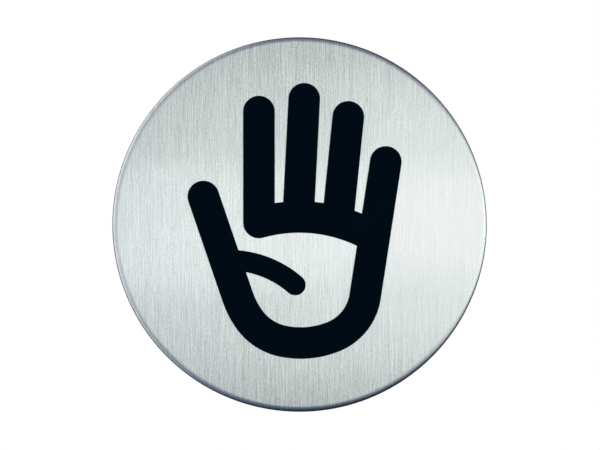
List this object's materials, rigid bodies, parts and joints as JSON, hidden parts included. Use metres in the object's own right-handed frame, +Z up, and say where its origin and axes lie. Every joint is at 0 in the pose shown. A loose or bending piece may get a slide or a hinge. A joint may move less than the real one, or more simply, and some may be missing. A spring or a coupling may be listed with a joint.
{
  "type": "no entry sign",
  "caption": "Round stick-on door sign of brushed steel, with a black open-hand figure that tells people not to enter.",
  "frame": {"origin": "centre of the adhesive pad's back, on the surface of the door or wall", "axes": "+Z up and +X to the right as the sign is read; +Y out of the sign's back into the door, so the face looks along -Y"},
  "size_m": [0.083, 0.0017, 0.083],
  "materials": {
    "brushed_steel": "satin",
    "black_ink": "satin",
    "foam_tape": "matte"
  },
  "bodies": {
    "root": {"steel_disc": "brushed_steel", "hand_symbol": "black_ink", "adhesive_pad": "foam_tape"}
  },
  "joints": []
}
